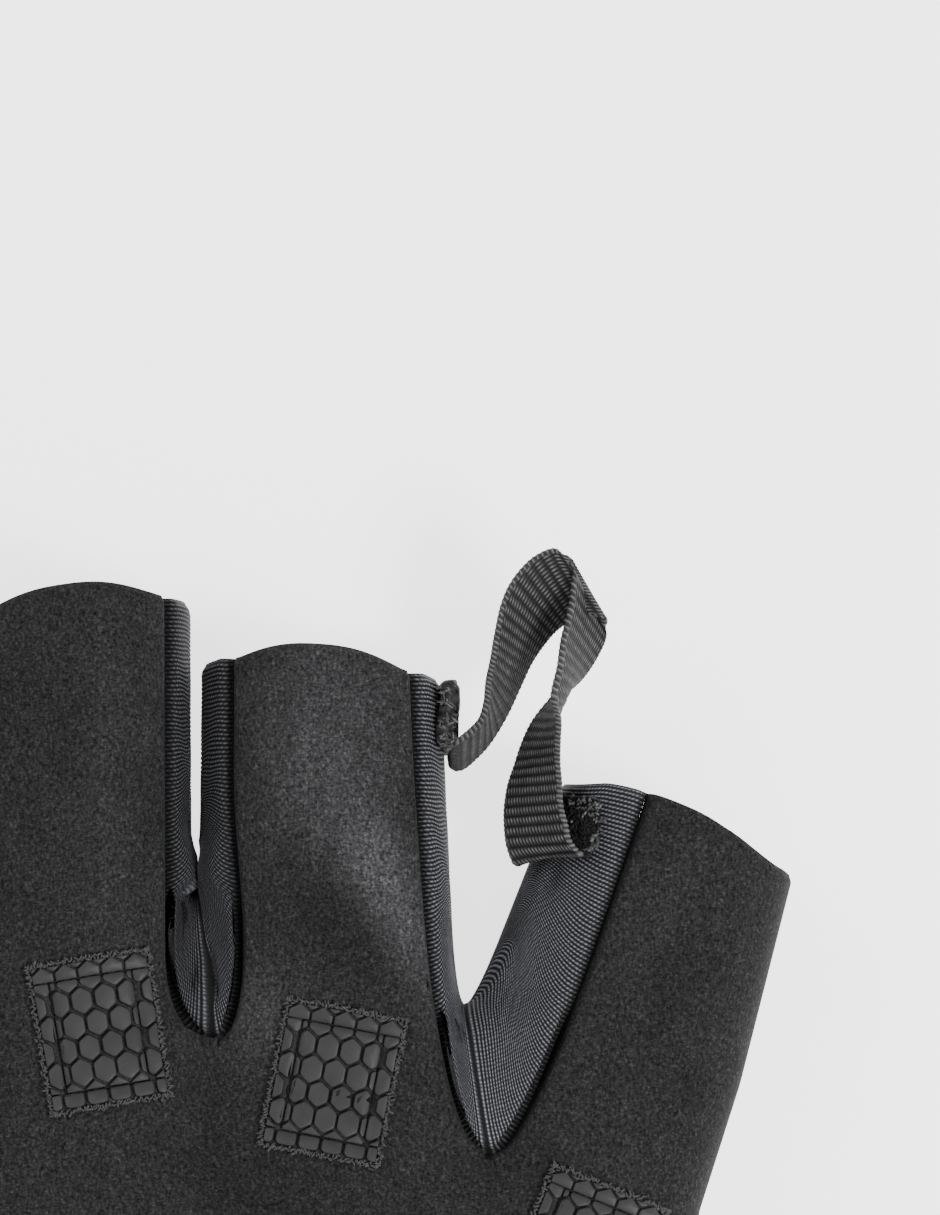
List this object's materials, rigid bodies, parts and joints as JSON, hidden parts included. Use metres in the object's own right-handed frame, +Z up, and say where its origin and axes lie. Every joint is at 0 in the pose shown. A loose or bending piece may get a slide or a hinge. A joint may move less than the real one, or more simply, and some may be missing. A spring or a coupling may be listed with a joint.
{
  "type": "training glove",
  "caption": "Fingerless training glove for the left hand with a suede palm, honeycomb grip patches, ribbed finger sides, a wrist strap and a webbing pull loop.",
  "frame": {"origin": "middle of the underside of the glove lying on its back", "axes": "+Y from the wrist to the fingertips, +Z up out of the palm, +X toward the little finger"},
  "size_m": [0.1538, 0.1672, 0.0245],
  "materials": {
    "suede": "matt nap",
    "knit": "matt knit",
    "rib": "fine rib knit",
    "strap": "matt brushed loop",
    "webbing": "flat woven webbing",
    "grip": "satin silicone"
  },
  "bodies": {
    "root": {"palm_panel": "suede", "back_panel": "knit", "side_strip_index_middle": "rib", "side_strip_middle_ring": "rib", "side_strip_ring_little": "rib", "thumb_palm": "suede", "thumb_back": "knit", "wrist_cuff": "knit", "wrist_strap": "strap", "pull_loop": "webbing", "grip_patch_index": "grip", "grip_patch_middle": "grip", "grip_patch_ring": "grip", "grip_patch_little": "grip"}
  },
  "joints": []
}
